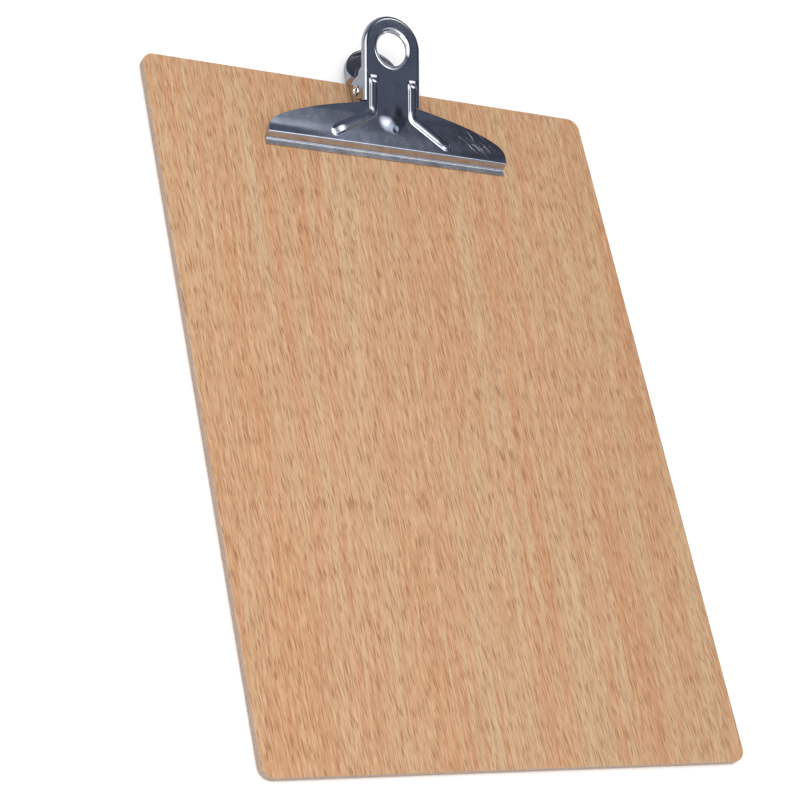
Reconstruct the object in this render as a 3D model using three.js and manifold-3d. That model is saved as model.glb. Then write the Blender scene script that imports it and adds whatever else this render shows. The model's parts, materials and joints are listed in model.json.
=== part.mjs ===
// A4 clipboard with a riveted spring lever clip.
// Millimetres. Origin at the middle of the board's back face.
// +X to the right, +Y towards the clip end, +Z out of the writing face.
// Clip parts are drawn from the jaw's front edge (y = 0) and the writing face
// (z = 0), then moved onto the board.
import * as THREE from 'three';
import { mergeVertices } from 'three/addons/utils/BufferGeometryUtils.js';
import Module from 'manifold-3d';

const wasm = await Module();
wasm.setup();

// ---------------------------------------------------------------- dimensions
const BOARD_W = 225;            // across
const BOARD_L = 315;            // along
const BOARD_T = 4.0;            // total thickness
const BOARD_R = 5.5;            // corner radius
const DECOR_T = 0.4;            // each decor layer

const CLIP_ORIGIN = [0, 119.0, BOARD_T];
const SHEET = 0.9;              // steel sheet of both clip plates

// jaw plate: side profile of its outer face as [y, z] corners, with bend radii
const LIP_LIFT = 0.05;          // running gap under the resting lip
const LIP_DEPTH = 2.9;
const LIP_BEND_R = 0.35;
const WALL_TOP = [4.1, 4.4];
const WALL_BEND_R = 1.1;
const BEND = [16.5, 10.5];      // wing slope meets lever slope
const BEND_R = 22;

// jaw plate seen from above
const JAW_HALF = 60.7;          // half the width of the jaw
const WING_ROOT_Y = 21.0;       // where the wing meets the lever
const LEVER_HALF = 14.46;       // half the width of the thumb lever
const LEVER_TIP_Y = 46.6;       // where the round end begins
const LEVER_TIP_R = 14.0;       // its depth
const LEVER_END = [LEVER_TIP_Y + LEVER_TIP_R, 26.9];  // last corner of the side profile
// rear edge of the right wing: [x, y]
const WING_EDGE = [
  [JAW_HALF, 4.6], [60.5, 6.4], [59.7, 8.1], [58.0, 9.7], [55.2, 11.2], [51.0, 12.8],
  [46.0, 14.3], [40.0, 15.9], [33.0, 17.5], [26.5, 18.8], [20.0, 20.0],
];
const SKIRT = 2.6;              // side skirt under the lever's edge
const SKIRT_SETBACK = 0.5;      // from the wing root to the start of the skirt
const HOLE_Y = 45.0;            // hanging hole
const HOLE_R = 7.5;
const COLLAR_WALL = 0.9;
const COLLAR_DROP = 2.0;        // collar drawn under the sheet

// stiffening ribs: crest points of the right-hand rib, [x, y, z]
const RIB = [[9.9, 27.9, 16.35], [10.0, 16.7, 12.3], [28.5, 7.3, 6.9]];
const RIB_BASE_R = 1.75;
const RIB_CREST_R = 0.75;
const RIB_DEPTH = 2.1;          // from crest to foot
const RIB_SHOULDER = 0.15;      // from crest to the top of the flanks

// pivot
const PIN_Y = 29.65;
const PIN_Z = 7.66;
const PIN_R = 1.7;
const PIN_BORE_R = 0.9;
const PIN_MOUTH = 0.5;          // widening of the bore at each end
const PIN_MOUTH_DEPTH = 1.2;
const PIN_JAW_GAP = 0.3;        // running clearance in the jaw ears
const PIN_BASE_GAP = 0.1;       // clearance in the base ears
const PIN_FLARE_R = 2.5;
const PIN_FLARE_T = 0.6;
const PIN_FLARE_BEVEL = 0.3;
const PIN_FLARE_GAP = 0.1;      // between flare and ear ring
const EAR_OUT = LEVER_HALF;     // outer face of the jaw ears
const EAR_GAP = 0.3;            // between jaw ears and base ears
const EAR_CURVE_R = 4.2;        // lower edge of the jaw ear around the pin
const RING_R = 3.0;             // raised ring around the pin hole
const RING_PROUD = 0.12;
const RING_INSET = 0.2;         // ring starts this far into the ear

// base plate
const INNER_EAR_OUT = EAR_OUT - SHEET - EAR_GAP;      // outer face of the base ears
const WING_HALF = 38;
const WING_Y0 = 6.2;
const WING_Y1 = 17.2;
const WING_CORNER_R = 5.2;
const WING_ROOT_R = 3.5;
const BASE_NECK_Y = 36.2;       // where the plate starts to widen to its round end
const BASE_NECK_L = 2.6;
const BASE_TIP_Y = 41.9;
const BASE_TIP_R = 14.5;
const BASE_RIM = 3.5;           // height of the turned-up rim
const BASE_RIM_Z0 = 0.1;        // rim and collar start inside the sheet
const BASE_EAR_R = 4.4;         // upper edge of the base ear around the pin
const BASE_COLLAR_RISE = 1.2;

// rivets
const RIVET_X = 31;
const RIVET_Y = 11.6;
const RIVET_R = 1.5;
const RIVET_HOLE_R = RIVET_R + 0.3;
const RIVET_HEAD_R = 4.0;
const RIVET_HEAD_T = 0.8;
const RIVET_CLINCH_R = 2.7;
const RIVET_CLINCH_T = 0.8;
const RIVET_BORE_R = 0.8;
const RIVET_BORE_DEPTH = 2.0;   // below the top of the base plate

// spring
const COIL_R = 4.0;
const WIRE_R = 0.7;
const COIL_PITCH = 1.6;
const COIL_TURNS = 6.4;         // nominal, adjusted to the lower leg's direction
const SPRING_LEG = 6.5;
const UPPER_LEG_TILT = 12.5;    // degrees from the lever's slope
const LOWER_LEG_TILT = 16.5;    // degrees from the board's plane

// tool bodies
const OVERCUT = 1;              // how far cutters run past a face
const PLAN_Z0 = -2;             // height range that holds the whole jaw
const PLAN_Z1 = 40;
const CLIP_REACH = 20;          // half width that holds lever, ears and pin
const RIM_STOCK = 20;           // wall height before the rim is cut to shape

// ------------------------------------------------------------------- solids
const DEG = Math.PI / 180;
const UP = new THREE.Vector3(0, 0, 1);

function solid(geometry) {
  // only positions may decide which vertices are shared
  const merged = mergeVertices(
    geometry.deleteAttribute('normal').deleteAttribute('uv'), 1e-4);
  const index = merged.index.array;
  const triangles = [];
  for (let i = 0; i < index.length; i += 3) {
    const [a, b, c] = index.slice(i, i + 3);
    if (a !== b && b !== c && a !== c) triangles.push(a, b, c);
  }
  return new wasm.Manifold(new wasm.Mesh({
    numProp: 3,
    vertProperties: Float32Array.from(merged.getAttribute('position').array),
    triVerts: Uint32Array.from(triangles),
  }));
}

const vectors = (points) => points.map(([a, b]) => new THREE.Vector2(a, b));

function extrude(points, depth) {
  return new THREE.ExtrudeGeometry(
    new THREE.Shape(vectors(points)), { depth, bevelEnabled: false });
}

// outline in (x, y), extruded in z
function prismZ(points, z0, z1) {
  return solid(extrude(points, z1 - z0).translate(0, 0, z0));
}

// outline in (y, z), extruded in x
function prismX(points, x0, x1) {
  const geometry = extrude(points, x1 - x0).translate(0, 0, x0);
  geometry.applyMatrix4(new THREE.Matrix4().makeBasis(
    new THREE.Vector3(0, 1, 0), UP, new THREE.Vector3(1, 0, 0)));
  return solid(geometry);
}

function rodX(radius, x0, x1, y, z) {
  const geometry = new THREE.CylinderGeometry(radius, radius, x1 - x0, 40);
  geometry.rotateZ(-Math.PI / 2);
  geometry.translate((x0 + x1) / 2, y, z);
  return solid(geometry);
}

function rodZ(radius, z0, z1, x, y, segments = 48) {
  const geometry = new THREE.CylinderGeometry(radius, radius, z1 - z0, segments);
  geometry.rotateX(Math.PI / 2);
  geometry.translate(x, y, (z0 + z1) / 2);
  return solid(geometry);
}

// round body standing along a normal, between two heights above the origin point
function frustumOn(origin, normal, { topR, footR, from, to, segments }) {
  const geometry = new THREE.CylinderGeometry(topR, footR, to - from, segments);
  geometry.rotateX(Math.PI / 2);
  geometry.translate(0, 0, (from + to) / 2);
  geometry.applyQuaternion(new THREE.Quaternion().setFromUnitVectors(UP, normal));
  geometry.translate(origin.x, origin.y, origin.z);
  return solid(geometry);
}

// ----------------------------------------------------------------- outlines
// angles in degrees
function arc(centreX, centreY, radiusX, radiusY, start, end, steps) {
  const points = [];
  for (let i = 0; i <= steps; i++) {
    const angle = (start + (end - start) * i / steps) * DEG;
    points.push([centreX + radiusX * Math.cos(angle), centreY + radiusY * Math.sin(angle)]);
  }
  return points;
}

// arc that replaces the corner between two neighbouring points
function fillet(before, corner, after, radius, steps = 5) {
  const [apex, ...ends] = vectors([corner, before, after]);
  const legs = ends.map((end) => end.sub(apex).normalize());
  const halfAngle = Math.acos(legs[0].dot(legs[1])) / 2;
  const centre = legs[0].clone().add(legs[1])
    .setLength(radius / Math.sin(halfAngle)).add(apex);
  const [start, end] = legs.map((leg) => {
    const spoke = leg.clone().multiplyScalar(radius / Math.tan(halfAngle))
      .add(apex).sub(centre);
    return Math.atan2(spoke.y, spoke.x) / DEG;
  });
  let sweep = end - start;
  if (sweep > 180) sweep -= 360;
  if (sweep < -180) sweep += 360;
  return arc(centre.x, centre.y, radius, radius, start, start + sweep, steps);
}

// polyline moved sideways by a distance, to its right-hand side
function offsetPath(points, distance) {
  const normals = points.slice(1).map(([x, y], i) => {
    const dx = x - points[i][0];
    const dy = y - points[i][1];
    const length = Math.hypot(dx, dy);
    return [dy / length, -dx / length];
  });
  return points.map(([x, y], i) => {
    const before = normals[Math.max(0, i - 1)];
    const after = normals[Math.min(normals.length - 1, i)];
    const mitreX = before[0] + after[0];
    const mitreY = before[1] + after[1];
    const scale = 2 * distance / (mitreX * mitreX + mitreY * mitreY);
    return [x + mitreX * scale, y + mitreY * scale];
  });
}

// closes a right-hand half outline, which ends on the centre line, with its mirror image
function symmetric(half) {
  return [...half, ...half.map(([x, y]) => [-x, y]).reverse().slice(1)];
}

// --------------------------------------------------------------------- board
function boardOutline() {
  const x = BOARD_W / 2 - BOARD_R;
  const y = BOARD_L / 2 - BOARD_R;
  const centres = [[x, y], [-x, y], [-x, -y], [x, -y]];
  return centres.flatMap(([cornerX, cornerY], i) =>
    arc(cornerX, cornerY, BOARD_R, BOARD_R, 90 * i, 90 * (i + 1), 10));
}

function boardLayer(z0, z1) {
  let layer = prismZ(boardOutline(), z0, z1);
  for (const sign of [-1, 1]) {
    layer = layer.subtract(rodZ(RIVET_HOLE_R, z0 - OVERCUT, z1 + OVERCUT,
      sign * RIVET_X, CLIP_ORIGIN[1] + RIVET_Y));
  }
  return layer;
}

// ----------------------------------------------------------------- jaw plate
const LIP_Z = SHEET + LIP_LIFT;
const LIP_FRONT = [0, LIP_Z];
const LIP_REAR = [LIP_DEPTH, LIP_Z];
const jawTop = [
  LIP_FRONT,
  ...fillet(LIP_FRONT, LIP_REAR, WALL_TOP, LIP_BEND_R),
  ...fillet(LIP_REAR, WALL_TOP, BEND, WALL_BEND_R),
  ...fillet(WALL_TOP, BEND, LEVER_END, BEND_R),
  LEVER_END,
];

const slopeBetween = (from, to) => Math.atan2(to[1] - from[1], to[0] - from[0]);
const slopeNormal = (slope) => new THREE.Vector3(0, -Math.sin(slope), Math.cos(slope));
const leverSlope = slopeBetween(BEND, LEVER_END);
const leverNormal = slopeNormal(leverSlope);
const wingNormal = slopeNormal(slopeBetween(WALL_TOP, BEND));

// right-hand edge and round end of the lever, moved inwards
function leverEdge(inset, startY) {
  return [
    [LEVER_HALF - inset, startY],
    ...arc(0, LEVER_TIP_Y, LEVER_HALF - inset, LEVER_TIP_R - inset, 0, 90, 16),
  ];
}

// slab between two depths below the outer face
function jawSlab(depth0, depth1) {
  const upper = offsetPath(jawTop, depth0);
  const lower = offsetPath(jawTop, depth1);
  return prismX([...lower, ...upper.reverse()], -JAW_HALF - OVERCUT, JAW_HALF + OVERCUT);
}

// straight run of a rib between two crest points
function ribRun(start, end, normal) {
  const along = end.clone().sub(start);
  const length = along.length();
  along.normalize();
  const side = new THREE.Vector3().crossVectors(normal, along).normalize();
  const up = new THREE.Vector3().crossVectors(along, side).normalize();
  const geometry = extrude([
    [-RIB_BASE_R, -RIB_DEPTH], [RIB_BASE_R, -RIB_DEPTH],
    [RIB_CREST_R, -RIB_SHOULDER], [RIB_CREST_R * 0.5, 0],
    [-RIB_CREST_R * 0.5, 0], [-RIB_CREST_R, -RIB_SHOULDER],
  ], length);
  geometry.applyMatrix4(new THREE.Matrix4().makeBasis(side, up, along).setPosition(start));
  return solid(geometry);
}

function ribCap(crest, normal) {
  return frustumOn(crest, normal, {
    topR: RIB_CREST_R, footR: RIB_BASE_R, from: -RIB_DEPTH, to: -RIB_SHOULDER, segments: 20,
  });
}

function rib(sign) {
  const [top, knee, foot] = RIB.map(([x, y, z]) => new THREE.Vector3(sign * x, y, z));
  return [
    ribRun(top, knee, leverNormal),
    ribRun(knee, foot, wingNormal),
    ribCap(top, leverNormal),
    ribCap(knee, leverNormal),
    ribCap(knee, wingNormal),
    ribCap(foot, wingNormal),
  ].reduce((joined, part) => joined.add(part));
}

function jawEar(sign) {
  // side elevation: [y, z]
  const elevation = [
    [23.9, 12.7], [24.1, 10.9], [26.0, 6.1],
    ...arc(PIN_Y, PIN_Z, EAR_CURVE_R, EAR_CURVE_R, 218, 300, 8),
    ...fillet([32.5, 3.9], [35.0, 4.5], [35.3, 8], 1.0, 4),
    [35.4, 11.1], [35.7, 15.0], [36.2, 17.2],
  ];
  const span = (inner, outer) => (sign > 0 ? [inner, outer] : [-outer, -inner]);
  const inner = EAR_OUT - SHEET;
  const ring = rodX(RING_R, ...span(inner + RING_INSET, EAR_OUT + RING_PROUD), PIN_Y, PIN_Z);
  return prismX(elevation, ...span(inner, EAR_OUT)).add(ring);
}

// wall around the lever, one sheet thick, hanging below it
function leverSkirt(plan) {
  const startY = WING_ROOT_Y + SKIRT_SETBACK;
  const endY = 62;              // past the lever's tip
  const insetStartY = 18;       // in front of the wing root
  const core = prismZ(symmetric(leverEdge(SHEET, insetStartY)),
    PLAN_Z0 - OVERCUT, PLAN_Z1 + OVERCUT);
  const region = prismZ([
    [-CLIP_REACH, startY], [CLIP_REACH, startY], [CLIP_REACH, endY], [-CLIP_REACH, endY],
  ], PLAN_Z0 - OVERCUT, PLAN_Z1 + OVERCUT);
  const ring = plan.subtract(core).intersect(region);
  return jawSlab(SHEET * 0.5, SHEET + SKIRT).intersect(ring);
}

// round body square to the lever, centred on the hanging hole
function holeRod(radius, from, to) {
  const z = BEND[1] + (HOLE_Y - BEND[0]) * Math.tan(leverSlope);
  return frustumOn(new THREE.Vector3(0, HOLE_Y, z), leverNormal, {
    topR: radius, footR: radius, from, to, segments: 56,
  });
}

function jawPlate() {
  const plan = prismZ(symmetric([
    [JAW_HALF, 0], ...WING_EDGE, ...leverEdge(0, WING_ROOT_Y),
  ]), PLAN_Z0, PLAN_Z1);
  let plate = jawSlab(0, SHEET).intersect(plan);
  // ribs end inside the sheet
  const ribRegion = jawSlab(-3, SHEET * 0.6).intersect(plan);
  for (const sign of [-1, 1]) plate = plate.add(rib(sign).intersect(ribRegion));
  plate = plate.add(leverSkirt(plan));
  for (const sign of [-1, 1]) plate = plate.add(jawEar(sign));
  // hanging hole with a collar drawn to the underside
  plate = plate.add(holeRod(HOLE_R + COLLAR_WALL, -SHEET - COLLAR_DROP, -SHEET * 0.5));
  plate = plate.subtract(holeRod(HOLE_R, -6, 3));
  plate = plate.subtract(rodX(PIN_R + PIN_JAW_GAP, -CLIP_REACH, CLIP_REACH, PIN_Y, PIN_Z));
  return plate.translate(CLIP_ORIGIN);
}

// ---------------------------------------------------------------- base plate
// right-hand edge from the neck to the round end, moved inwards
function baseTail(inset, neckY) {
  const tipR = BASE_TIP_R - inset;
  return [
    [INNER_EAR_OUT - inset, neckY],
    [tipR, neckY + BASE_NECK_L],
    ...arc(0, BASE_TIP_Y, tipR, tipR, 0, 90, 18),
  ];
}

function baseOutline() {
  const front = [WING_HALF, WING_Y0];
  const rear = [WING_HALF, WING_Y1];
  const root = [INNER_EAR_OUT, WING_Y1];
  return symmetric([
    ...fillet([0, WING_Y0], front, rear, WING_CORNER_R, 8),
    ...fillet(front, rear, root, WING_CORNER_R, 8),
    ...fillet(rear, root, [INNER_EAR_OUT, 30], WING_ROOT_R, 6),
    ...baseTail(0, BASE_NECK_Y),
  ]);
}

// rim and ears: side walls of the outline, cut to their side elevation
function baseWalls(outline) {
  const inset = symmetric([
    [INNER_EAR_OUT - SHEET, 20], ...baseTail(SHEET, BASE_NECK_Y + 0.2),
  ]);
  const walls = prismZ(outline, 0, RIM_STOCK)
    .subtract(prismZ(inset, -OVERCUT, RIM_STOCK + OVERCUT));
  // side elevation: [y, z]
  const elevation = prismX([
    [24.6, BASE_RIM_Z0], [25.2, 7.0],
    ...arc(PIN_Y, PIN_Z, BASE_EAR_R, BASE_EAR_R, 172, 40, 12),
    [36.0, 7.3], [40.5, 4.6], [44.0, BASE_RIM], [60, BASE_RIM], [60, BASE_RIM_Z0],
  ], -CLIP_REACH, CLIP_REACH);
  return walls.intersect(elevation);
}

function basePlate() {
  const outline = baseOutline();
  let plate = prismZ(outline, 0, SHEET).add(baseWalls(outline));
  // hole with a low collar on its upper side
  plate = plate.add(rodZ(HOLE_R + COLLAR_WALL, BASE_RIM_Z0, SHEET + BASE_COLLAR_RISE,
    0, BASE_TIP_Y, 56));
  plate = plate.subtract(rodZ(HOLE_R, -OVERCUT, 5, 0, BASE_TIP_Y, 56));
  for (const sign of [-1, 1]) {
    plate = plate.subtract(
      rodZ(RIVET_HOLE_R, -OVERCUT, SHEET + OVERCUT, sign * RIVET_X, RIVET_Y));
  }
  plate = plate.subtract(rodX(PIN_R + PIN_BASE_GAP, -CLIP_REACH, CLIP_REACH, PIN_Y, PIN_Z));
  return plate.translate(CLIP_ORIGIN);
}

// ----------------------------------------------------------------- pivot pin
function pivotPin() {
  const flareIn = EAR_OUT + RING_PROUD + PIN_FLARE_GAP;
  const end = flareIn + PIN_FLARE_T;
  // right-hand half: [radius, distance from the middle]
  const half = [
    [PIN_R, flareIn], [PIN_FLARE_R, flareIn],
    [PIN_FLARE_R, end - PIN_FLARE_BEVEL], [PIN_FLARE_R - PIN_FLARE_BEVEL, end],
    [PIN_BORE_R + PIN_MOUTH, end], [PIN_BORE_R, end - PIN_MOUTH_DEPTH],
  ];
  const profile = [...half.map(([radius, along]) => [radius, -along]).reverse(), ...half];
  const geometry = new THREE.LatheGeometry(vectors([...profile, profile[0]]), 40);
  geometry.rotateZ(-Math.PI / 2);
  geometry.translate(0, PIN_Y, PIN_Z);
  return solid(geometry).translate(CLIP_ORIGIN);
}

// -------------------------------------------------------------------- rivets
// low pan head on the back, rolled clinch over the base plate
function rivet(sign) {
  const top = BOARD_T + SHEET;
  const clinchTop = top + RIVET_CLINCH_T;
  // [radius, z]
  const profile = [
    [0, -RIVET_HEAD_T],
    [RIVET_HEAD_R - 0.9, -RIVET_HEAD_T],
    [RIVET_HEAD_R - 0.25, -RIVET_HEAD_T + 0.3],
    [RIVET_HEAD_R, 0], [RIVET_R, 0], [RIVET_R, top],
    [RIVET_CLINCH_R, top], [RIVET_CLINCH_R, top + 0.35],
    [RIVET_CLINCH_R - 0.4, clinchTop], [1.3, clinchTop],
    [RIVET_BORE_R, top + 0.2], [RIVET_BORE_R, top - RIVET_BORE_DEPTH],
    [0, top - RIVET_BORE_DEPTH],
  ];
  const geometry = new THREE.LatheGeometry(vectors(profile), 48);
  geometry.rotateX(Math.PI / 2);
  geometry.translate(sign * RIVET_X, CLIP_ORIGIN[1] + RIVET_Y, 0);
  return solid(geometry);
}

// -------------------------------------------------------------------- spring
// Coil around the pivot pin with a straight tangent leg at each end.
// Angles are in radians about the X axis, from +Y towards +Z.
const TURN = 2 * Math.PI;
const coilStart = leverSlope + (90 + UPPER_LEG_TILT) * DEG;
const lowerLegAngle = (-90 - LOWER_LEG_TILT) * DEG;
// the coil ends where its tangent runs along the lower leg
const coilEnd = lowerLegAngle
  + Math.round(COIL_TURNS + (coilStart - lowerLegAngle) / TURN) * TURN;
const coilSweep = coilEnd - coilStart;
const coilLength = coilSweep * COIL_R;
const coilWidth = coilSweep / TURN * COIL_PITCH;

class TorsionWire extends THREE.Curve {
  getPoint(t, target = new THREE.Vector3()) {
    const fromCoil = t * (coilLength + 2 * SPRING_LEG) - SPRING_LEG;
    const onCoil = THREE.MathUtils.clamp(fromCoil, 0, coilLength);
    const onLeg = fromCoil - onCoil;    // negative on the first leg
    const angle = coilStart + onCoil / COIL_R;
    return target.set(
      coilWidth / 2 - coilWidth * onCoil / coilLength,
      PIN_Y + COIL_R * Math.cos(angle) - Math.sin(angle) * onLeg,
      PIN_Z + COIL_R * Math.sin(angle) + Math.cos(angle) * onLeg);
  }
}

function spring() {
  const section = arc(0, 0, WIRE_R, WIRE_R, 0, 360, 8).slice(0, -1);
  const geometry = new THREE.ExtrudeGeometry(new THREE.Shape(vectors(section)), {
    steps: 170, bevelEnabled: false, extrudePath: new TorsionWire(),
  });
  return solid(geometry).translate(CLIP_ORIGIN);
}

// ----------------------------------------------------------------- materials
const matt = ({ color, roughness }) =>
  new THREE.MeshStandardMaterial({ color, roughness, metalness: 0 });
const steel = ({ color, roughness }) =>
  new THREE.MeshStandardMaterial({ color, roughness, metalness: 1 });
const beech = () => matt({ color: 0xd2a885, roughness: 0.45 });
const fibre = () => matt({ color: 0xa8968a, roughness: 0.85 });
const baseSteel = () => steel({ color: 0x9aa0ab, roughness: 0.22 });
const jawSteel = () => steel({ color: 0xa4abb8, roughness: 0.18 });
const pinSteel = () => steel({ color: 0xb4b8be, roughness: 0.28 });
const springSteel = () => steel({ color: 0x6f747c, roughness: 0.35 });
const rivetSteel = () => steel({ color: 0xb0b3b8, roughness: 0.3 });

// ------------------------------------------------------------------ assembly
const group = new THREE.Group();
group.name = 'clipboard';

function addPiece(name, body, material) {
  const { vertProperties, triVerts } = body.getMesh();
  const geometry = new THREE.BufferGeometry();
  geometry.setAttribute('position',
    new THREE.BufferAttribute(Float32Array.from(vertProperties), 3));
  geometry.setIndex(new THREE.BufferAttribute(Uint32Array.from(triVerts), 1));
  geometry.computeVertexNormals();
  const mesh = new THREE.Mesh(geometry, material);
  mesh.name = name;
  group.add(mesh);
}

addPiece('back_decor_layer', boardLayer(0, DECOR_T), beech());
addPiece('board_core', boardLayer(DECOR_T, BOARD_T - DECOR_T), fibre());
addPiece('front_decor_layer', boardLayer(BOARD_T - DECOR_T, BOARD_T), beech());
addPiece('clip_base_plate', basePlate(), baseSteel());
addPiece('jaw_plate', jawPlate(), jawSteel());
addPiece('pivot_pin', pivotPin(), pinSteel());
addPiece('torsion_spring', spring(), springSteel());
addPiece('rivet_left', rivet(-1), rivetSteel());
addPiece('rivet_right', rivet(1), rivetSteel());

export default group;
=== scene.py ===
import json
import math

import bmesh
import bpy
import numpy as np
from mathutils import Matrix, Vector
from mathutils.geometry import delaunay_2d_cdt
from numpy.linalg import norm


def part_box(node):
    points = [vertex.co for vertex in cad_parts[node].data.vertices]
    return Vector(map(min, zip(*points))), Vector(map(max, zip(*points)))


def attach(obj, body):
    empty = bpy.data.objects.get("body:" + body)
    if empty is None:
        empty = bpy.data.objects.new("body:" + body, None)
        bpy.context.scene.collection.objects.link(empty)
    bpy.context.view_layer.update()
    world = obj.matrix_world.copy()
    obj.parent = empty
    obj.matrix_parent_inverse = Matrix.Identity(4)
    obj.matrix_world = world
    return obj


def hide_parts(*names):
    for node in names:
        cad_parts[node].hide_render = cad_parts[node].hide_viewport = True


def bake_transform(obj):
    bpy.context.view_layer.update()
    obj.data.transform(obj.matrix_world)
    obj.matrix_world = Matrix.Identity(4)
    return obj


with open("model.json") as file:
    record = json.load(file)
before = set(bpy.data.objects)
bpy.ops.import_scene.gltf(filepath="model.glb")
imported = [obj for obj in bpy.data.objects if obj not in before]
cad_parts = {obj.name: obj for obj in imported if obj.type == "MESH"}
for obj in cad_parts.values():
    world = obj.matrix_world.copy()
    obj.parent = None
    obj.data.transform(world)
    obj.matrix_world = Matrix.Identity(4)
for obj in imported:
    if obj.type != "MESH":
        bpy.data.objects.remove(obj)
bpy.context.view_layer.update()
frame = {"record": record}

MM = 0.001
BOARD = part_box("board_core")
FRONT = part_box("front_decor_layer")
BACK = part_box("back_decor_layer")
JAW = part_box("jaw_plate")
LIP_Y = JAW[0][1] / MM
FACE_Z = FRONT[1][2] / MM
HALF_WIDTH = BOARD[1][0] / MM
HALF_LENGTH = BOARD[1][1] / MM
HINGE = frame["record"]["behaviour"]["joints"][0]["pos_m"]
PIN_Y = HINGE[1] / MM - LIP_Y
PIN_Z = HINGE[2] / MM - FACE_Z

# Sizes shared by several pieces, mm
SHEET = 0.9                       # thickness of the jaw and base sheets
LEVER_HALF = 14.46                # half the width over the lever's side walls
RIVET_X, RIVET_Y = 31, 11.6
RIVET_HOLE = 1.8                  # radius
JAW_PIN_HOLE = 1.95               # radius
BASE_PIN_HOLE = 1.78              # radius

ACROSS = np.array([1.0, 0, 0])


# ------------------------------------------------------------- mesh helpers
def to_frame(point):
    """Clip millimetres to frame metres."""
    return (point[0] * MM, (point[1] + LIP_Y) * MM, (point[2] + FACE_Z) * MM)


def mesh_object(name, verts, faces):
    mesh = bpy.data.meshes.new(name)
    mesh.from_pydata([tuple(vert) for vert in verts], [],
                     [tuple(int(i) for i in face) for face in faces])
    mesh.validate()
    mesh.update()
    piece = bpy.data.objects.new(name, mesh)
    bpy.context.scene.collection.objects.link(piece)
    mesh.polygons.foreach_set("use_smooth", [True] * len(mesh.polygons))
    return piece


def apply_modifiers(piece):
    graph = bpy.context.evaluated_depsgraph_get()
    mesh = bpy.data.meshes.new_from_object(piece.evaluated_get(graph))
    old = piece.data
    piece.modifiers.clear()
    piece.data = mesh
    bpy.data.meshes.remove(old)


def clean(piece, sharp=35, merge=1e-6):
    """Tidy the mesh, face it outwards and mark edges over `sharp` degrees as sharp."""
    work = bmesh.new()
    work.from_mesh(piece.data)
    if merge:
        bmesh.ops.remove_doubles(work, verts=work.verts, dist=merge)
    bmesh.ops.dissolve_degenerate(work, edges=work.edges, dist=1e-8)
    bmesh.ops.recalc_face_normals(work, faces=work.faces)
    limit = math.radians(sharp)
    for face in work.faces:
        face.smooth = True
    for edge in work.edges:
        edge.smooth = len(edge.link_faces) != 2 or edge.calc_face_angle(0) < limit
    work.to_mesh(piece.data)
    work.free()
    piece.data.update()
    return piece


def ease_edges(piece, width, segments):
    """Bevel the sharp edges; width in mm."""
    bevel = piece.modifiers.new("edge", "BEVEL")
    bevel.width = width * MM
    bevel.segments = segments
    bevel.limit_method = "ANGLE"
    bevel.angle_limit = math.radians(50)
    bevel.miter_outer = "MITER_ARC"
    apply_modifiers(piece)
    clean(piece, merge=0)


def revolve(name, profile, segments, axis, centre):
    """Turn a closed or axis-to-axis profile [(radius, height)] about X or Z, in clip mm."""
    verts, faces, rings = [], [], []
    for radius, height in profile:
        if radius < 1e-9:
            rings.append([len(verts)])
            verts.append((0, 0, height))
            continue
        rings.append(list(range(len(verts), len(verts) + segments)))
        for k in range(segments):
            angle = 2 * math.pi * k / segments
            verts.append((radius * math.cos(angle), radius * math.sin(angle), height))
    closed = profile[0][0] > 1e-9 and profile[-1][0] > 1e-9
    pairs = list(zip(rings, rings[1:])) + ([(rings[-1], rings[0])] if closed else [])
    for low, high in pairs:
        for k in range(segments):
            n = (k + 1) % segments
            if len(low) == 1:
                faces.append((low[0], high[k], high[n]))
            elif len(high) == 1:
                faces.append((low[k], high[0], low[n]))
            else:
                faces.append((low[k], high[k], high[n], low[n]))
    placed = []
    for x, y, z in verts:
        if axis == "X":
            x, y, z = z, x, y
        placed.append(to_frame((x + centre[0], y + centre[1], z + centre[2])))
    return clean(mesh_object(name, placed, faces))


def drill(piece, radius, low, high, axis, centre):
    """Cut a round hole from low to high along the axis."""
    profile = [(0, low), (radius, low), (radius, high), (0, high)]
    tool = revolve("tool", profile, 48, axis, centre)
    cut = piece.modifiers.new("cut", "BOOLEAN")
    cut.operation = "DIFFERENCE"
    cut.solver = "EXACT"
    cut.object = tool
    apply_modifiers(piece)
    bpy.data.objects.remove(tool, do_unlink=True)


def drill_pin_hole(piece, radius):
    drill(piece, radius, -20, 20, "X", (0, PIN_Y, PIN_Z))


def drill_rivet_holes(piece, low, high):
    for side in (-1, 1):
        drill(piece, RIVET_HOLE, low, high, "Z", (side * RIVET_X, RIVET_Y, 0))


# ---------------------------------------------------------- outline helpers
def arc(x, y, radius, start, end, steps):
    """Points on an arc about (x, y); angles in degrees."""
    angles = [math.radians(start + (end - start) * i / steps) for i in range(steps + 1)]
    return [(x + radius * math.cos(angle), y + radius * math.sin(angle)) for angle in angles]


def fillet(before, corner, after, radius, steps):
    """Arc that rounds a corner, made smaller where its arms are too short."""
    before, corner, after = map(np.array, (before, corner, after))
    arm_in, arm_out = before - corner, after - corner
    length_in, length_out = norm(arm_in), norm(arm_out)
    arm_in, arm_out = arm_in / length_in, arm_out / length_out
    half = math.acos(max(-1, min(1, float(arm_in @ arm_out)))) / 2
    setback = min(radius / math.tan(half), 0.49 * min(length_in, length_out))
    radius = setback * math.tan(half)
    bisector = (arm_in + arm_out) / norm(arm_in + arm_out)
    centre = corner + bisector * radius / math.sin(half)
    start = math.atan2(*(corner + arm_in * setback - centre)[::-1])
    end = math.atan2(*(corner + arm_out * setback - centre)[::-1])
    while end - start > math.pi:
        end -= 2 * math.pi
    while end - start < -math.pi:
        end += 2 * math.pi
    angles = [start + (end - start) * i / steps for i in range(steps + 1)]
    return [(centre[0] + radius * math.cos(angle), centre[1] + radius * math.sin(angle))
            for angle in angles]


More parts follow.
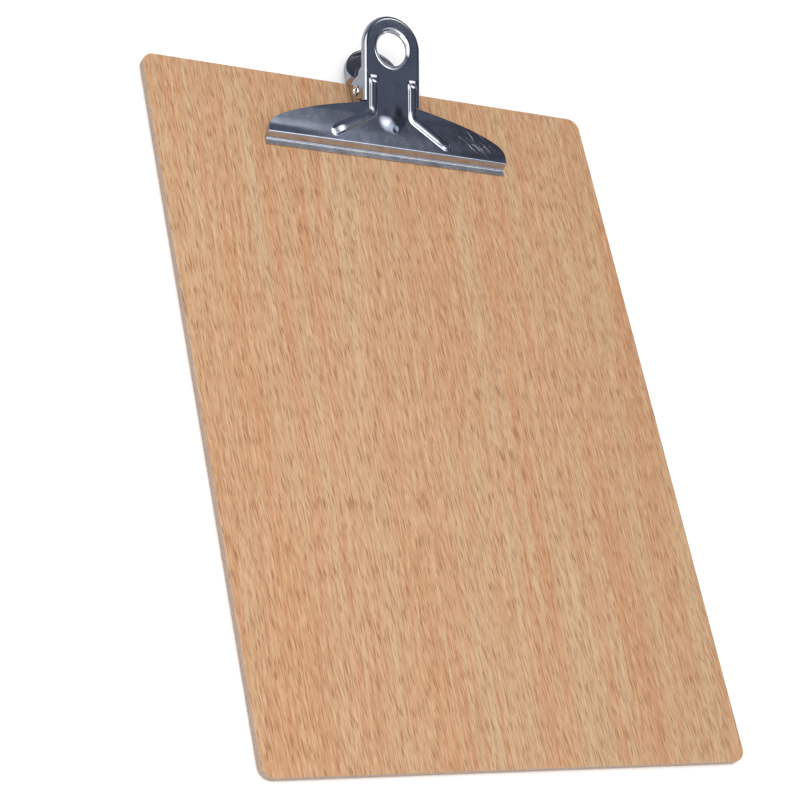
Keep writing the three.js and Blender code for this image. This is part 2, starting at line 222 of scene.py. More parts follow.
def curve_through(points, steps):
    """Catmull-Rom curve through the points."""
    knots = [np.array(point, float) for point in points]
    knots = [2 * knots[0] - knots[1]] + knots + [2 * knots[-1] - knots[-2]]
    curve = []
    for i in range(1, len(knots) - 2):
        past, here, ahead, beyond = knots[i - 1:i + 3]
        for k in range(steps):
            part = k / steps
            curve.append(tuple(0.5 * (
                2 * here + (ahead - past) * part
                + (2 * past - 5 * here + 4 * ahead - beyond) * part * part
                + (3 * here - past - 3 * ahead + beyond) * part ** 3)))
    curve.append(tuple(knots[-2]))
    return curve


def travel(points):
    """Distance along a path at each of its points."""
    return np.r_[0, np.cumsum(norm(np.diff(points, axis=0), axis=1))]


def resample_path(points, step):
    """Even steps along an open path."""
    points = np.asarray(points, float)
    lengths = travel(points)
    stations = np.linspace(0, lengths[-1], max(1, int(round(lengths[-1] / step))) + 1)
    return np.c_[np.interp(stations, lengths, points[:, 0]),
                 np.interp(stations, lengths, points[:, 1])]


def resample_loop(loop, step):
    """Even steps round a closed loop, keeping its sharp corners."""
    points = [np.array(point, float) for point in loop + [loop[0]]]
    corners = [0]
    for i in range(1, len(points) - 1):
        arriving, leaving = points[i] - points[i - 1], points[i + 1] - points[i]
        if norm(arriving) < 1e-9 or norm(leaving) < 1e-9:
            continue
        cosine = float(arriving @ leaving) / norm(arriving) / norm(leaving)
        if cosine < math.cos(math.radians(25)):
            corners.append(i)
    corners.append(len(points) - 1)
    return np.concatenate([resample_path(points[first:last + 1], step)[:-1]
                           for first, last in zip(corners, corners[1:])])


def circle_loop(y, radius, step):
    return resample_loop(arc(0, y, radius, 0, -359.999, 160)[:-1], step)


def inside(loop, points):
    """True for the points inside a closed loop."""
    x, y = points[:, 0], points[:, 1]
    result = np.zeros(len(points), bool)
    for i in range(len(loop)):
        x0, y0 = loop[i]
        x1, y1 = loop[(i + 1) % len(loop)]
        if y0 == y1:
            continue
        result ^= ((y0 > y) != (y1 > y)) & (x < (x1 - x0) * (y - y0) / (y1 - y0) + x0)
    return result


def near(loop, points, limit):
    """True for the points closer than limit to a closed loop."""
    result = np.zeros(len(points), bool)
    for i in range(len(loop)):
        start = loop[i]
        side = loop[(i + 1) % len(loop)] - start
        part = np.clip(((points - start) @ side) / max(float(side @ side), 1e-12), 0, 1)
        gap = points - start - part[:, None] * side
        result |= (gap ** 2).sum(1) < limit * limit
    return result


def triangulate(outer, hole, step, fine_rows=(), guides=None, keep=None):
    """Fill an outline round its hole; returns points, triangles and the ids along each loop.

    fine_rows adds rows at those heights. guides are extra points, which replace the grid
    wherever keep() is false.
    """
    low, high = outer.min(0), outer.max(0)
    columns = np.arange(math.floor(low[0] / step) * step, high[0] + step, step)
    rows = np.r_[np.arange(low[1] + step, high[1], step), np.array(fine_rows, float)]
    rows = np.unique(np.round(rows, 5))
    grid_x, grid_y = np.meshgrid(columns, rows)
    grid_x = grid_x + (np.arange(len(rows)) % 2)[:, None] * step / 2
    grid = np.c_[grid_x.ravel(), grid_y.ravel()]
    grid = grid[inside(outer, grid) & ~inside(hole, grid)]
    grid = grid[~near(outer, grid, step * 0.45) & ~near(hole, grid, step * 0.45)]
    if guides is not None:
        guides = guides[inside(outer, guides) & ~near(outer, guides, step * 0.3)]
        grid = np.r_[grid[keep(grid)], guides]
    count = len(outer)
    loops = [list(range(count)), list(range(count, count + len(hole)))]
    edges = [edge for loop in loops for edge in zip(loop, loop[1:] + loop[:1])]
    start_points = [Vector(point) for point in np.concatenate([outer, hole, grid])]
    verts, _, faces, origins, _, _ = delaunay_2d_cdt(start_points, edges, [], 0, 1e-6)
    points = np.array([tuple(vert) for vert in verts])
    new_id = {old: new for new, olds in enumerate(origins) for old in olds}
    triangles = np.array([face for face in faces if len(face) == 3])
    middles = points[triangles].mean(1)
    triangles = triangles[inside(outer, middles) & ~inside(hole, middles)]
    first, second, third = (points[triangles[:, i]] for i in range(3))
    area = ((second[:, 0] - first[:, 0]) * (third[:, 1] - first[:, 1])
            - (third[:, 0] - first[:, 0]) * (second[:, 1] - first[:, 1]))
    triangles[area < 0] = triangles[area < 0][:, ::-1]
    triangles = triangles[np.abs(area) > 1e-9]
    return points, triangles, [[new_id[i] for i in loop] for loop in loops]


def smooth_step(value):
    value = np.clip(value, 0, 1)
    return value * value * (3 - 2 * value)


def unit(across, along):
    vector = np.array([across, along])
    return vector / norm(vector)


# ------------------------------------------------------------ pressed sheet
def wind_alike(verts, faces):
    """The same faces, wound consistently."""
    work = bmesh.new()
    corners = [work.verts.new(vert) for vert in verts]
    work.verts.index_update()
    for face in faces:
        work.faces.new([corners[i] for i in face])
    bmesh.ops.recalc_face_normals(work, faces=work.faces)
    wound = [tuple(vert.index for vert in face.verts) for face in work.faces]
    work.free()
    return wound


class Sheet:
    """Pressed sheet: matching outer and inner points in clip mm, and the outer faces.

    Flanges leave a plane that holds the X axis and `along`; `facing` is its outer side.
    """

    def __init__(self, outer, inner, triangles, along, facing):
        self.outer = [tuple(point) for point in outer]
        self.inner = [tuple(point) for point in inner]
        self.faces = [tuple(int(i) for i in triangle) for triangle in triangles]
        self.along = along
        self.facing = facing

    def add(self, point, normal, thickness=SHEET):
        self.outer.append(tuple(point))
        self.inner.append(tuple(point - normal * thickness))
        return len(self.outer) - 1

    def direction(self, plane_vector):
        return plane_vector[0] * ACROSS + plane_vector[1] * self.along

    def flange(self, first, outward, radius, depth, rows, swell=None):
        """Quarter-round bend from point `first`, then a straight wall down to depth."""
        start = np.array(self.outer[first])
        strip = [first]
        for k in range(1, 9):
            turn = math.radians(90 * k / 8)
            point = (start + outward * radius * math.sin(turn)
                     - self.facing * radius * (1 - math.cos(turn)))
            strip.append(self.add(point, outward * math.sin(turn) + self.facing * math.cos(turn)))
        for k in range(1, rows + 1):
            drop = radius + (depth - radius) * k / rows
            point = start + outward * radius - self.facing * drop
            if swell:
                point = point + outward * swell(point)
            strip.append(self.add(point, outward))
        return strip

    def stitch(self, strips, closed=False):
        """Faces between neighbouring strips of points."""
        following = strips[1:] + (strips[:1] if closed else [])
        for left, right in zip(strips, following):
            for k in range(len(left) - 1):
                self.faces.append((left[k], left[k + 1], right[k + 1], right[k]))

    def build(self, name):
        """Closed solid; its inner faces take the second material, a darker steel that paints shade
        on them.
        """
        outer_faces = wind_alike(self.outer, self.faces)
        count, face_count = len(self.outer), len(outer_faces)
        inner_faces = [tuple(i + count for i in face)[::-1] for face in outer_faces]
        edges = dict.fromkeys(edge for face in outer_faces
                              for edge in zip(face, face[1:] + face[:1]))
        rim = [(end, start, start + count, end + count)
               for start, end in edges if (end, start) not in edges]
        verts = [to_frame(point) for point in self.outer + self.inner]
        piece = mesh_object(name, verts, outer_faces + inner_faces + rim)
        work = bmesh.new()
        work.from_mesh(piece.data)
        work.faces.ensure_lookup_table()
        for face in work.faces:
            face.material_index = 1 if face_count <= face.index < 2 * face_count else 0
        loose = [vert for vert in work.verts if not vert.link_faces]
        bmesh.ops.delete(work, geom=loose, context="VERTS")
        if work.calc_volume(signed=True) < 0:
            bmesh.ops.reverse_faces(work, faces=work.faces)
        work.to_mesh(piece.data)
        work.free()
        return piece


def flanged_edge(points, chain, first_y, half_width):
    """Ids of the outline points that carry the side wall."""
    return [i for i in chain
            if points[i][1] >= first_y - 1e-4 and abs(points[i][0]) <= half_width + 1e-6]


# ---------------------------------------------------------------------- jaw
# Side view of the jaw's outer face: y, z, bend radius at that corner
PROFILE = [
    (0, SHEET + 0.05, 0), (2.9, SHEET + 0.13, 0.8), (4.1, 4.4, 1.25),
    (9.5, 7.14, 90), (16.5, 10.5, 26), (60.6, 26.9, 0),
]


def rounded_profile():
    points = [PROFILE[0][:2]]
    for before, corner, after in zip(PROFILE, PROFILE[1:], PROFILE[2:]):
        points += fillet(before[:2], corner[:2], after[:2], corner[2], 24)
    return np.array(points + [PROFILE[-1][:2]])


# The jaw is laid out flat in (x, run), where run is the distance along its profile
SIDE = rounded_profile()
SIDE_RUN = travel(SIDE)


def run_at(y):
    return float(np.interp(y, SIDE[:, 0], SIDE_RUN))


BEND, LEVER_END = PROFILE[-2], PROFILE[-1]
LEVER_SLOPE = math.atan2(LEVER_END[1] - BEND[1], LEVER_END[0] - BEND[0])
BEND_RUN = run_at(BEND[0])
LEVER_ROLL = 1.8                  # bend radius along the lever's sides and tip
LEVER_INNER = LEVER_HALF - LEVER_ROLL
LEVER_WALL_START = run_at(21.5)
TIP_RUN = run_at(45.6)            # centre of the lever's round end
WING_HALF = 60.7
HOLE_RUN = run_at(45.0)
HOLE_RADIUS = 7.5

# Half the wing's edge behind its straight end, towards the lever: x, y
WING_EDGE = [
    (WING_HALF, 3.2), (WING_HALF, 4.6), (60.5, 6.4), (59.7, 8.1), (58.0, 9.7),
    (55.2, 11.2), (51.0, 12.8), (46.0, 14.3), (40.0, 15.9), (33.0, 17.5),
    (26.5, 18.8), (20.0, 20.0), (LEVER_HALF, 21.0),
]

# Depth of the lever's side wall: distance from the bend along the lever, depth
EAR = np.array([
    (-50, 2.8), (7.0, 2.8), (7.35, 7.6), (7.7, 9.2), (8.6, 10.6), (10.2, 11.5),
    (12.4, 11.95), (14.2, 11.9), (15.3, 11.4), (16.1, 10.4), (16.9, 8.4), (17.9, 5.6),
    (18.7, 4.0), (19.6, 3.1), (20.4, 2.8), (90, 2.8),
])

# Section of the hanging hole's collar, from the outer face inwards:
# start and end angle below the face (degrees), radius (or length if straight), pieces
COLLAR_SECTION = [
    (0, -26, 0.5, 4), (-26, 46, 0.85, 10), (46, 46, 0.95, 4), (46, 90, 0.62, 6),
    (90, 90, 0.5, 4),
]


def collar_points():
    """(inward, down, tilt) along the collar's section."""
    inward = down = 0.0
    points = []
    for start, end, size, pieces in COLLAR_SECTION:
        start, end = math.radians(start), math.radians(end)
        length = size * (abs(end - start) or 1) / pieces
        for k in range(1, pieces + 1):
            heading = start + (end - start) * (k - 0.5) / pieces
            inward += math.cos(heading) * length
            down += math.sin(heading) * length
            points.append((inward, down, start + (end - start) * k / pieces))
    return points


COLLAR = collar_points()
COLLAR_WIDTH = COLLAR[-1][0]

# One embossed rib, mirrored in x: down the lever, then out along the wing (x, run)
RIB_CORNERS = [(9.9, run_at(33.0)), (10.0, run_at(16.9)), (28.0, run_at(8.0))]
RIB_LINE = np.array([RIB_CORNERS[0]] + fillet(*RIB_CORNERS, 3.0, 12) + [RIB_CORNERS[2]])
RIB_CREST = 1.3                   # half width of the top, outer face
RIB_CREST_INNER = RIB_CREST - 0.45
RIB_FLANK = 0.85
RIB_HEIGHT = 1.0
# Distances from the rib's centre line that carry rows of mesh points
RIB_GUIDES = [0.8, 1.05, 1.25, 1.4, 1.55, 1.7, 1.85, 2.0, 2.15, 2.35, 2.6, 2.85, 3.1]


def profile_at(run):
    """y, z and the outward normal's y, z."""
    def place(at):
        return np.interp(at, SIDE_RUN, SIDE[:, 0]), np.interp(at, SIDE_RUN, SIDE[:, 1])

    y, z = place(run)
    reach = 0.08
    (y0, z0), (y1, z1) = place(run - reach), place(run + reach)
    length = np.hypot(y1 - y0, z1 - z0)
    return y, z, -(z1 - z0) / length, (y1 - y0) / length


def rib_distance(x, run):
    """Distance from the rib's centre line, distance along it, and its length."""
    best = np.full(x.shape, 1e9)
    along = np.zeros(x.shape)
    total = 0
    for (x0, run0), (x1, run1) in zip(RIB_LINE, RIB_LINE[1:]):
        side = np.array([x1 - x0, run1 - run0])
        length = np.hypot(*side)
        part = ((np.abs(x) - x0) * side[0] + (run - run0) * side[1]) / length ** 2
        part = np.clip(part, 0, 1)
        gap = np.hypot(np.abs(x) - x0 - part * side[0], run - run0 - part * side[1])
        closer = gap < best
        best = np.where(closer, gap, best)
        along = np.where(closer, total + part * length, along)
        total += length
    return best, along, total


def rib_guides(step):
    """Points on lines parallel to the ribs, so their edges stay crisp."""
    path = resample_path(RIB_LINE, step)
    tangent = np.gradient(path, axis=0)
    tangent /= norm(tangent, axis=1)[:, None]
    normal = np.c_[-tangent[:, 1], tangent[:, 0]]
    groups = []
    for offset in RIB_GUIDES:
        for side in (-1, 1):
            groups.append(path + normal * offset * side)
        for end, heading in ((path[0], -tangent[0]), (path[-1], tangent[-1])):
            count = max(3, int(math.pi * offset / step))
            angles = math.atan2(heading[1], heading[0]) + np.linspace(
                -math.pi / 2, math.pi / 2, count + 2)[1:-1]
            groups.append(end + offset * np.c_[np.cos(angles), np.sin(angles)])
    points = np.concatenate(groups)
    distance, _, _ = rib_distance(points[:, 0], points[:, 1])
    # drop points that a bend brings nearer to another part of the rib
    points = points[np.min(np.abs(distance[:, None] - np.array(RIB_GUIDES)), axis=1) < 0.03]
    return np.r_[points, points * np.array([-1, 1])]


def clear_of_guides(points):
    distance = rib_distance(points[:, 0], points[:, 1])[0]
    return (distance < 0.6) | (distance > 3.3)


def soft_ramp(value):
    """Straight ramp from 0 to 1 with rounded ends."""
    ease = 0.4
    value = np.clip(value, 0, 1)
    slope = 1 / (1 - ease)
    start = 0.5 * slope * value * value / ease
    middle = slope * (value - ease / 2)
    end = 1 - 0.5 * slope * (1 - value) ** 2 / ease
    return np.where(value < ease, start, np.where(value > 1 - ease, end, middle))


def rib_height(x, run, crest):
    best, along, total = rib_distance(x, run)
    # the wing part is a little lower, with wider flanks; the lever end is softened too
    wide = smooth_step((along - 14.0) / 4.0)
    full = smooth_step((along - 1.0) / 4.5)
    height = (RIB_HEIGHT * soft_ramp((along + 0.4) / 4.9) * (1 - 0.30 * wide)
              * (0.55 + 0.45 * soft_ramp((total - along) / 5.0)))
    flank = (best - crest + 0.1 * wide) / (RIB_FLANK + 0.42 * wide + 0.5 * (1 - full))
    return height * (1 - smooth_step(flank)) * (1 - 0.09 * np.clip(best / crest, 0, 1) ** 2)


def jaw_relief(x, run, crest):
    """Height of the pressed relief above the plain profile."""
    relief = rib_height(x, run, crest)
    # soft swelling between the ribs
    centre = run_at(15.2)
    radius = np.hypot((x + 0.4) / 7.2, (run - centre) / np.where(run > centre, 10.0, 6.2))
    relief = relief + 0.52 * (1 - smooth_step(radius))
    # small round press mark: a shallow dent with a faint raised ring
    radius = np.hypot(x - 1.5, run - run_at(11.5))
    relief = (relief - 0.07 * (1 - smooth_step(radius / 1.5))
              + 0.025 * np.exp(-((radius - 1.7) / 0.35) ** 2))
    # the wings bow down slightly towards their ends
    part = np.clip((np.abs(x) - 14) / 46, 0, 1)
    relief = relief - 0.45 * part * part * smooth_step((run - 5.0) / 5.0)
    # the lever's end dips a little
    part = np.clip((run - run_at(48)) / 13, 0, 1)
    relief = relief - 0.50 * part * part
    # faint unevenness of pressed sheet
    return (relief + 0.004 * np.sin(x * 0.41 + 1.3) * np.sin(run * 0.53 + 0.4)
            + 0.0012 * np.sin(x * 0.9 + run * 0.7))


def jaw_outline():
    half = [(WING_HALF, 0.0)]
    half += [(x, run_at(y)) for x, y in curve_through(WING_EDGE, 6)]
    half += [(LEVER_INNER, run_at(21.1)), (LEVER_INNER, LEVER_WALL_START)]
    half += arc(0, TIP_RUN, LEVER_INNER, 0, 90, 40)
    return half + [(-x, run) for x, run in half[:-1]][::-1]


def pin_ring_swell(point):
    """Low raised ring in the side wall round the pin."""
    radius = math.hypot(point[1] - PIN_Y, point[2] - PIN_Z)
    return 0.16 * max(0.0, 1 - ((radius - 2.75) / 0.6) ** 2)


def build_jaw():
    step = 0.42
    fine_rows = np.arange(2.0, run_at(PROFILE[2][0]) + 1.6, 0.14)
    points, triangles, (edge_chain, hole_chain) = triangulate(
        resample_loop(jaw_outline(), step),
        circle_loop(HOLE_RUN, HOLE_RADIUS + COLLAR_WIDTH, step),
        step, fine_rows, rib_guides(0.36), clear_of_guides)
    x, run = points[:, 0], points[:, 1]
    y, z, normal_y, normal_z = profile_at(run)
    base = np.c_[x, y, z]
    normal = np.c_[np.zeros(len(x)), normal_y, normal_z]
    sheet = Sheet(
        base + normal * jaw_relief(x, run, RIB_CREST)[:, None],
        base + normal * (jaw_relief(x, run, RIB_CREST_INNER) - SHEET)[:, None],
        triangles,
        along=np.array([0, math.cos(LEVER_SLOPE), math.sin(LEVER_SLOPE)]),
        facing=np.array([0, -math.sin(LEVER_SLOPE), math.cos(LEVER_SLOPE)]))

    # side walls with the ears that hold the pin
    strips = []
    for i in flanged_edge(points, edge_chain, LEVER_WALL_START, LEVER_INNER):
        x, run = points[i]
        outward = (math.copysign(1, x), 0.0) if run <= TIP_RUN else unit(x, run - TIP_RUN)
        depth = float(np.interp(run - BEND_RUN, EAR[:, 0], EAR[:, 1]))
        strips.append(sheet.flange(i, sheet.direction(outward), LEVER_ROLL, depth, 26,
                                   pin_ring_swell))
    sheet.stitch(strips)

    # funnel-shaped collar of the hanging hole, thinning inwards
    strips = []
    for i in hole_chain:
        inward = sheet.direction(unit(-points[i][0], HOLE_RUN - points[i][1]))
        start = np.array(sheet.outer[i])
        strip = [i]
        for k, (reach, down, tilt) in enumerate(COLLAR):
            strip.append(sheet.add(start + inward * reach - sheet.facing * down,
                                   inward * math.sin(tilt) + sheet.facing * math.cos(tilt),
                                   SHEET - 0.38 * min(1.0, k / 8)))
        strips.append(strip)
    sheet.stitch(strips, closed=True)

    jaw = sheet.build("jaw_plate_pressed")
    ease_edges(jaw, width=0.08, segments=1)
    drill_pin_hole(jaw, JAW_PIN_HOLE)
    return clean(jaw, merge=0)


# --------------------------------------------------------------- base plate
BASE_ROLL = 1.5                   # bend radius of the turned-up edges
BASE_TIP_Y, BASE_TIP_RADIUS = 41.9, 14.5
BASE_HALF = 13.26                 # half width over the side walls
BASE_WING_HALF = 38
BASE_FRONT, BASE_BACK = 6.2, 17.2   # y of the wings' two long edges
BASE_WALL_START = 24.5
BASE_HOLE_RADIUS = 7.5

# Height of the turned-up edge above the plate's underside: y, height
BASE_WALL = np.array(
    [(24.0, 5.6), (24.6, 6.6)]
    + arc(PIN_Y, PIN_Z, 4.4, 172, 40, 24)
    + [(34.6, 9.0), (36.0, 7.3), (38.2, 5.9), (40.5, 4.7), (42.2, 3.9), (44.0, 3.5), (90, 3.5)])


def base_outline():
    inner = BASE_HALF - BASE_ROLL
    tip = BASE_TIP_RADIUS - BASE_ROLL
    middle, front, back = (0, BASE_FRONT), (BASE_WING_HALF, BASE_FRONT), (BASE_WING_HALF, BASE_BACK)
    neck = (BASE_HALF, BASE_BACK)
    half = [middle]
    half += fillet(middle, front, back, 5.2, 12)
    half += fillet(front, back, neck, 5.2, 12)
    half += fillet(back, neck, (BASE_HALF, 30), 3.5, 10)
    half += [(BASE_HALF, 24.4), (inner, BASE_WALL_START), (inner, 36.2), (tip, 38.8)]
    half += arc(0, BASE_TIP_Y, tip, 0, 90, 40)
    return half + [(-x, y) for x, y in half[1:-1]][::-1]


def build_base():
    step = 0.5
    points, triangles, (edge_chain, hole_chain) = triangulate(
        resample_loop(base_outline(), step),
        circle_loop(BASE_TIP_Y, BASE_HOLE_RADIUS + BASE_ROLL, step), step)
    under = np.c_[points, np.zeros(len(points))]
    sheet = Sheet(under, under + np.array([0, 0, SHEET]), triangles,
                  along=np.array([0, 1.0, 0]), facing=np.array([0, 0, -1.0]))

    strips = []
    half_width = BASE_TIP_RADIUS - BASE_ROLL
    for i in flanged_edge(points, edge_chain, BASE_WALL_START, half_width):
        x, y = points[i]
        if y < BASE_TIP_Y:
            # the wall turns where the plate widens towards its round end
            lean = math.radians(12 * math.exp(-((y - 37.5) / 1.6) ** 2))
            outward = (math.copysign(math.cos(lean), x), -math.sin(lean))
        else:
            outward = unit(x, y - BASE_TIP_Y)
        height = max(float(np.interp(y, BASE_WALL[:, 0], BASE_WALL[:, 1])), BASE_ROLL + 0.4)
        strips.append(sheet.flange(i, sheet.direction(outward), BASE_ROLL, height, 22))
    sheet.stitch(strips)

    strips = []
    for i in hole_chain:
        inward = sheet.direction(unit(-points[i][0], BASE_TIP_Y - points[i][1]))
        strips.append(sheet.flange(i, inward, BASE_ROLL, 2.1, 1))
    sheet.stitch(strips, closed=True)

    base = sheet.build("clip_base_plate_pressed")
    ease_edges(base, width=0.14, segments=2)
    drill_pin_hole(base, BASE_PIN_HOLE)
    drill_rivet_holes(base, -2, 3)
    return clean(base)


# -------------------------------------------------------------------- board
BOARD_CORNER = 5.5                # corner radius
DECOR_EASE = 0.3                  # rounding of the decor sheets' outer edges


def board_layer(name, box, ease_top=0, ease_bottom=0):
    """Rounded rectangle between the box's lowest and highest z, with rivet holes."""
    low, high = box[0][2] / MM, box[1][2] / MM
    x, y = HALF_WIDTH - BOARD_CORNER, HALF_LENGTH - BOARD_CORNER
    corners = ((x, y, 0), (-x, y, 90), (-x, -y, 180), (x, -y, 270))
    turns = [math.radians(90 * k / 3) for k in range(4)]
    levels = [(0, low)]           # inset, z
    if ease_bottom:
        levels = [(ease_bottom * (1 - math.sin(turn)), low + ease_bottom * (1 - math.cos(turn)))
                  for turn in turns]
    if ease_top:
        levels += [(ease_top * (1 - math.cos(turn)), high - ease_top * (1 - math.sin(turn)))
                   for turn in turns]
    else:
        levels.append((0, high))
    verts = [(px * MM, py * MM, z * MM)
             for inset, z in levels
             for cx, cy, start in corners
             for px, py in arc(cx, cy, BOARD_CORNER - inset, start, start + 90, 28)]
    count = len(verts) // len(levels)
    faces = []
    for j in range(len(levels) - 1):
        for i in range(count):
            n = (i + 1) % count
            faces.append((j * count + i, j * count + n, (j + 1) * count + n, (j + 1) * count + i))
    faces.append(tuple(range(count))[::-1])
    faces.append(tuple(range(len(verts) - count, len(verts))))
    layer = mesh_object(name, verts, faces)
    drill_rivet_holes(layer, low - FACE_Z - 1, high - FACE_Z + 1)
    return clean(layer, 30)


# ----------------------------------------------------------- pin and rivets
def build_pin():
    """Hollow pin with a rolled head outside each ear."""
    ear = LEVER_HALF + 0.22
    end = ear + 0.6
    # radius, distance from the middle: from the bore over the head to the shank
    half = [
        (0.95, end - 1.5), (1.05, end - 0.7), (1.3, end - 0.2), (1.65, end - 0.02),
        (1.95, end), (2.25, end - 0.08), (2.45, end - 0.28), (2.5, ear + 0.12),
        (2.42, ear), (1.75, ear), (1.7, ear - 0.1),
    ]
    profile = [(radius, -height) for radius, height in half] + half[::-1]
    return revolve("pivot_pin_turned", profile, 72, "X", (0, PIN_Y, PIN_Z))


def build_rivet(name, x):
    """Flat head under the board, rolled hollow end on the base plate."""
    back, top = -FACE_Z, SHEET
    # radius, height
    profile = [
        (0, back - 0.8), (1.6, back - 0.8), (2.6, back - 0.74), (3.2, back - 0.62),
        (3.65, back - 0.42), (3.9, back - 0.18), (3.95, back - 0.06), (3.9, back),
        (1.55, back), (1.5, back + 0.05), (1.5, top - 0.02), (1.6, top),
        (2.45, top), (2.65, top + 0.12), (2.7, top + 0.32), (2.55, top + 0.56),
        (2.2, top + 0.74), (1.8, top + 0.79), (1.4, top + 0.72), (1.1, top + 0.5),
        (0.9, top + 0.1), (0.85, top - 1.9), (0, top - 2.0),
    ]
    return revolve(name, profile, 72, "Z", (x, RIVET_Y, 0))


# ------------------------------------------------------------------- spring
COIL_RADIUS = 4.0
WIRE_RADIUS = 0.7
WIRE_CHAMFER = 0.1
COIL_PITCH = 1.6
COIL_TURNS = 6.4                  # aimed at; the legs' directions fix the true number
LEG_LENGTH = 6.5
WIRE_SEGMENTS = 20


def spring_path():
    """Centre line: one leg, the coil about the pin, the other leg."""
    circle = 2 * math.pi
    start = math.radians(90 + math.degrees(LEVER_SLOPE) + 12.5)
    base_leg = math.radians(-90 - 16.5)
    end = base_leg + round((start + COIL_TURNS * circle - base_leg) / circle) * circle
    width = (end - start) / circle * COIL_PITCH

    def coil(angle):
        return np.array([width / 2 - width * (angle - start) / (end - start),
                         PIN_Y + COIL_RADIUS * math.cos(angle),
                         PIN_Z + COIL_RADIUS * math.sin(angle)])

    def heading(angle):
        return np.array([0, -math.sin(angle), math.cos(angle)])

    path = [coil(start) - heading(start) * k for k in np.linspace(LEG_LENGTH, 0, 16)[:-1]]
    path += [coil(angle)
             for angle in np.linspace(start, end, int((end - start) / math.radians(7.5)))]
    path += [coil(end) + heading(end) * k for k in np.linspace(0, LEG_LENGTH, 16)[1:]]
    return np.array(path)


def build_spring():
    path = spring_path()
    tangents = np.gradient(path, axis=0)
    tangents /= norm(tangents, axis=1)[:, None]
    sections = [(point, tangent, WIRE_RADIUS) for point, tangent in zip(path, tangents)]
    # chamfer both ends of the wire
    for index, inward in ((0, 1), (-1, -1)):
        point, tangent, _ = sections[index]
        pair = [(point, tangent, WIRE_RADIUS - WIRE_CHAMFER),
                (point + inward * tangent * WIRE_CHAMFER, tangent, WIRE_RADIUS)]
        if index == 0:
            sections[:1] = pair
        else:
            sections[-1:] = pair[::-1]
    verts, faces = [], []
    side = ACROSS
    for centre, tangent, radius in sections:
        side = side - tangent * (side @ tangent)
        side /= norm(side)
        other = np.cross(tangent, side)
        for k in range(WIRE_SEGMENTS):
            angle = 2 * math.pi * k / WIRE_SEGMENTS
            offset = radius * (math.cos(angle) * side + math.sin(angle) * other)
            verts.append(to_frame(centre + offset))
    rings = [list(range(i, i + WIRE_SEGMENTS)) for i in range(0, len(verts), WIRE_SEGMENTS)]
    for low, high in zip(rings, rings[1:]):
        for k in range(WIRE_SEGMENTS):
            n = (k + 1) % WIRE_SEGMENTS
            faces.append((low[k], low[n], high[n], high[k]))
    faces.append(tuple(rings[0])[::-1])
    faces.append(tuple(rings[-1]))
    return clean(mesh_object("torsion_spring_coiled", verts, faces))


